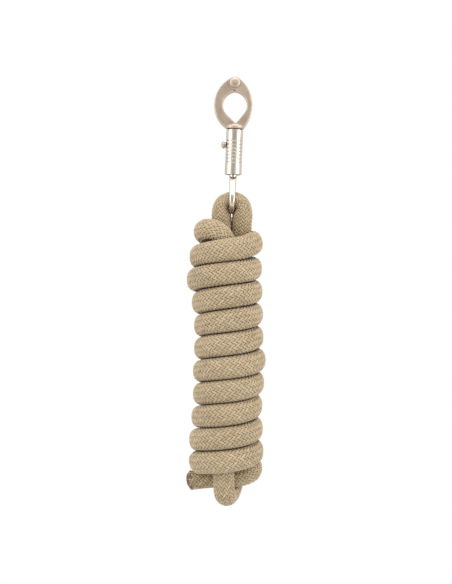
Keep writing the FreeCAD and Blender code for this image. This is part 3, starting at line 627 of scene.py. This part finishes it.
def yarn_material():
    """Matt twisted filament yarn, with painted shade between the yarns' floats and where turns
    meet.
    """
    nodes = Nodes("braided_yarn")
    shader = nodes.shader
    tone = nodes.add("ShaderNodeAttribute")
    tone.attribute_name = "tone"
    chart = nodes.tree.nodes.new("ShaderNodeUVMap")
    chart.uv_map = "OFBake"
    fibres = nodes.add("ShaderNodeMapping", Scale=(70.0, 700.0, 1.0))
    nodes.join(chart.outputs["UV"], fibres.inputs["Vector"])
    strands = nodes.noise(fibres.outputs["Vector"], 1.0, 3.0, 0.6)
    mixed = nodes.add("ShaderNodeMath")
    mixed.operation = "MULTIPLY_ADD"
    mixed.inputs[1].default_value = 0.55
    nodes.join(strands, mixed.inputs[0])
    nodes.join(tone.outputs["Fac"], mixed.inputs[2])
    colour = nodes.ramp(
        mixed.outputs["Value"],
        [
            (0.30, linear(155, 133, 101)),
            (0.70, linear(187, 166, 133)),
            (1.0, linear(208, 189, 156)),
        ],
    )
    # Painted shade: yarn edges and the parts that dip under other yarns are darkened in the base
    # colour.
    painted_light_attribute = nodes.add("ShaderNodeAttribute")
    painted_light_attribute.attribute_name = "painted_light"
    shade = nodes.ramp(
        painted_light_attribute.outputs["Fac"],
        [(0.0, linear(140, 126, 104)), (0.5, grey(0.93)), (0.9, grey(1.0))],
    )
    # Painted shade: ambient occlusion darkens the base colour where turns touch and in the braid's
    # gaps.
    contact = nodes.add("ShaderNodeAmbientOcclusion", Distance=0.006)
    contact.samples = 6
    contact_shade = nodes.ramp(contact.outputs["AO"], [(0.12, linear(112, 92, 66)), (0.45, grey(1.0))])
    shaded = nodes.multiplied(nodes.multiplied(colour, shade), contact_shade)
    nodes.join(shaded, shader.inputs["Base Color"])
    shader.inputs["Roughness"].default_value = 0.72
    shader.inputs["Specular IOR Level"].default_value = 0.35
    shader.inputs["Sheen Weight"].default_value = 0.25
    shader.inputs["Sheen Roughness"].default_value = 0.4
    nodes.join(nodes.bump(strands, 0.00025, 0.7), shader.inputs["Normal"])
    return nodes.material


def core_material():
    """Dull filler, seen only in the gaps of the braid."""
    nodes = Nodes("rope_core_fibre")
    fuzz = nodes.noise(nodes.place((1, 1, 1)), 900.0)
    colour = nodes.ramp(fuzz, [(0.3, linear(92, 74, 50)), (0.7, linear(128, 106, 76))])
    nodes.join(colour, nodes.shader.inputs["Base Color"])
    nodes.shader.inputs["Roughness"].default_value = 0.9
    nodes.join(nodes.bump(fuzz, 0.0004), nodes.shader.inputs["Normal"])
    return nodes.material


def melted_material():
    """Melted fibre, lumpy and glossy in patches."""
    nodes = Nodes("melted_end")
    lumps = nodes.noise(nodes.place((1, 1, 1)), 420.0, 4.0)
    colour = nodes.ramp(
        lumps,
        [
            (0.32, linear(74, 50, 38)),
            (0.52, linear(118, 92, 74)),
            (0.72, linear(150, 124, 100)),
        ],
    )
    nodes.join(colour, nodes.shader.inputs["Base Color"])
    gloss = nodes.ramp(lumps, [(0.3, grey(0.35)), (0.7, grey(0.65))])
    nodes.join(gloss, nodes.shader.inputs["Roughness"])
    nodes.join(nodes.bump(lumps, 0.0008), nodes.shader.inputs["Normal"])
    return nodes.material


satin = metal("satin_nickel_plate", linear(214, 194, 174), 0.40, 1400.0, 0.00004)
bright = metal(
    "bright_nickel_plate", linear(232, 220, 206), 0.24, 700.0, 0.000012, (1, 1, 0.15)
)
steel = metal("spring_wire_steel", linear(176, 174, 170), 0.28, 900.0, 0.00002, edge=0.0001)
crimp = metal("crimped_band_steel", linear(168, 164, 156), 0.38, 500.0, 0.00005, (1, 1, 4))
yarn = yarn_material()
core = core_material()
melted = melted_material()

FINISHES = {
    "hook_body": satin,
    "release_jaw": satin,
    "jaw_rivet": satin,
    "lock_sleeve": bright,
    "thumb_stud": satin,
    "swivel_stem": bright,
    "stem_retaining_pin": steel,
    "spring_seat_washer": steel,
    "stem_clip": steel,
    "sleeve_spring": steel,
    "loop_ferrule": crimp,
    "rope_eye_loop": yarn,
    "rope_start_bend": yarn,
    "rope_hank": yarn,
    "rope_bottom_loop": yarn,
    "rope_tail": yarn,
    "heat_sealed_end": melted,
}
for name, material in FINISHES.items():
    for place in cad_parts[name].material_slots:
        place.material = material
NEW_PIECES = [(piece, yarn, "rope_fibre") for piece in braid] + [
    (rope_core, core, "rope_fibre"),
    (sealed_end, melted, "melted_fibre"),
    (spring_coil, steel, "spring_steel"),
]
for piece, material, slot in NEW_PIECES:
    piece.data.materials.append(material)


# ---------------------------------------------------------------- what rides on what

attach(rope_core, "rope")
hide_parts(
    "rope_eye_loop", "rope_start_bend", "rope_hank", "rope_bottom_loop", "rope_tail"
)
for piece in braid:
    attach(piece, "rope")
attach(sealed_end, "rope")
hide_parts("heat_sealed_end")
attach(spring_coil, "stem")
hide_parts("sleeve_spring")
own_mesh(spring_coil)


# ---------------------------------------------------------------- studio

# Share of the way from the camera's back (0) to the object's back (1), and the room's brightness.
ROOM_LIGHT = ((0.01, 0.42), (0.07, 0.74), (0.34, 0.92), (1.0, 0.68))


def make_floor():
    """Pale round floor, well below the hanging rope."""
    bpy.ops.mesh.primitive_circle_add(
        vertices=128, radius=0.38, fill_type="NGON", location=(0, 0, -0.52)
    )
    floor = bpy.context.object
    floor.name = "floor"
    nodes = Nodes("floor_paint")
    speckle = nodes.noise(nodes.place((1, 1, 1)), 30.0)
    paint = nodes.ramp(speckle, [(0.0, grey(0.80)), (1.0, grey(0.84))])
    nodes.join(paint, nodes.shader.inputs["Base Color"])
    nodes.shader.inputs["Roughness"].default_value = 0.8
    floor.data.materials.append(nodes.material)


def softbox(name, place, size, power):
    """Rectangular light, turned to the middle of the object."""
    target = (0, 0, -0.16)
    data = bpy.data.lights.new(name, "AREA")
    data.shape = "RECTANGLE"
    data.size, data.size_y = size
    data.energy = power
    lamp = linked(name, data)
    lamp.location = place
    lamp.rotation_euler = (Vector(target) - Vector(place)).to_track_quat("-Z", "Y").to_euler()


def make_world():
    """White to the eye; for light and reflections, white all round but dimmer behind the camera."""
    world = bpy.data.worlds.new("studio")
    bpy.context.scene.world = world
    world.use_nodes = True
    tree = world.node_tree
    coordinates = tree.nodes.new("ShaderNodeTexCoord")
    axes = tree.nodes.new("ShaderNodeSeparateXYZ")
    tree.links.new(coordinates.outputs["Generated"], axes.inputs["Vector"])
    spread = tree.nodes.new("ShaderNodeMapRange")
    spread.inputs["From Min"].default_value = -1.0
    tree.links.new(axes.outputs["Y"], spread.inputs["Value"])
    room = tree.nodes.new("ShaderNodeValToRGB")
    elements = room.color_ramp.elements
    elements.new(0.5)
    elements.new(0.5)
    for element, (position, level) in zip(elements, ROOM_LIGHT):
        element.position = position
        element.color = grey(level)
    tree.links.new(spread.outputs["Result"], room.inputs["Fac"])
    ways = tree.nodes.new("ShaderNodeLightPath")
    shown = tree.nodes.new("ShaderNodeMix")
    shown.data_type = "RGBA"
    shown.inputs[7].default_value = grey(1.0)
    tree.links.new(ways.outputs["Is Camera Ray"], shown.inputs[0])
    tree.links.new(room.outputs["Color"], shown.inputs[6])
    tree.links.new(shown.outputs[2], tree.nodes["Background"].inputs["Color"])


make_floor()
make_world()
softbox("left_softbox", (-1.05, -0.60, 0.10), (0.7, 1.3), 5.5)
softbox("right_softbox", (1.05, -0.60, 0.10), (0.7, 1.3), 6.5)
softbox("top_softbox", (0.0, -0.45, 0.75), (0.9, 0.6), 3.0)
bpy.context.scene.view_settings.view_transform = "Standard"
